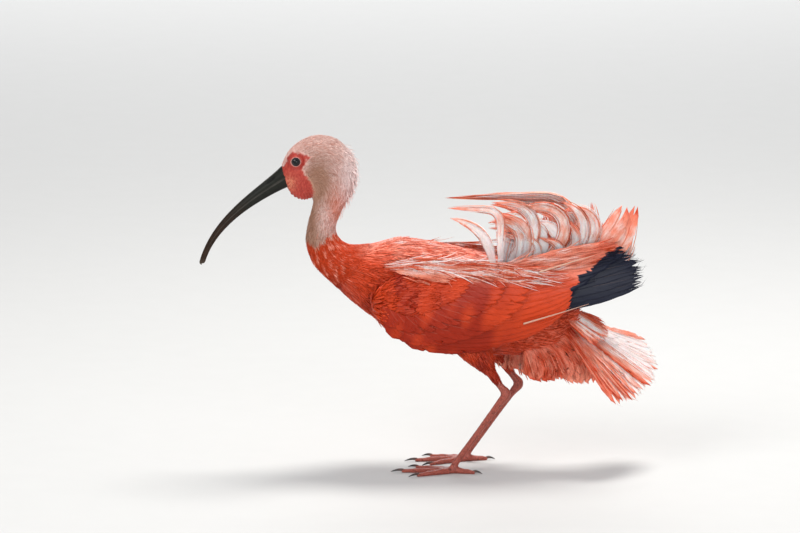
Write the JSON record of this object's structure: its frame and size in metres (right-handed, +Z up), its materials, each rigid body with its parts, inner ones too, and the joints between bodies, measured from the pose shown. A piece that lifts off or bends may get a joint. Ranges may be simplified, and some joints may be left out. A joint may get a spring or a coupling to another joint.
{
  "type": "scarlet ibis",
  "caption": "Life-size still model of a bathing scarlet ibis with a long down-curved bill, loose wings, raised plumes and a fanned tail, standing on its own feet.",
  "frame": {"origin": "middle of the bounding box, at the level of the soles", "axes": "+Z up, the bill points along -X, the tail along +X, the bird's left is -Y"},
  "size_m": [0.4402, 0.1126, 0.321],
  "materials": {
    "down": "matt, dry down",
    "scarlet": "satin, wet feathers",
    "plume": "satin, wet feathers",
    "flight_dark": "satin, wet feathers",
    "horn": "satin horn",
    "eye": "clear and wet",
    "leg_skin": "satin scaled skin",
    "claw": "satin horn"
  },
  "bodies": {
    "root": {"head": "down", "neck": "down", "torso": "scarlet", "tail": "plume", "undertail_coverts": "plume", "bill_upper": "horn", "bill_lower": "horn", "eye_left": "eye", "wing_left": "scarlet", "secondaries_left": "scarlet", "primaries_left": "flight_dark", "plumes_left": "plume", "thigh_left": "scarlet", "shank_left": "leg_skin", "foot_left": "leg_skin", "claw_left_inner": "claw", "claw_left_middle": "claw", "claw_left_outer": "claw", "claw_left_hind": "claw", "eye_right": "eye", "wing_right": "scarlet", "secondaries_right": "scarlet", "primaries_right": "flight_dark", "plumes_right": "plume", "thigh_right": "scarlet", "shank_right": "leg_skin", "foot_right": "leg_skin", "claw_right_inner": "claw", "claw_right_middle": "claw", "claw_right_outer": "claw", "claw_right_hind": "claw"}
  },
  "joints": []
}
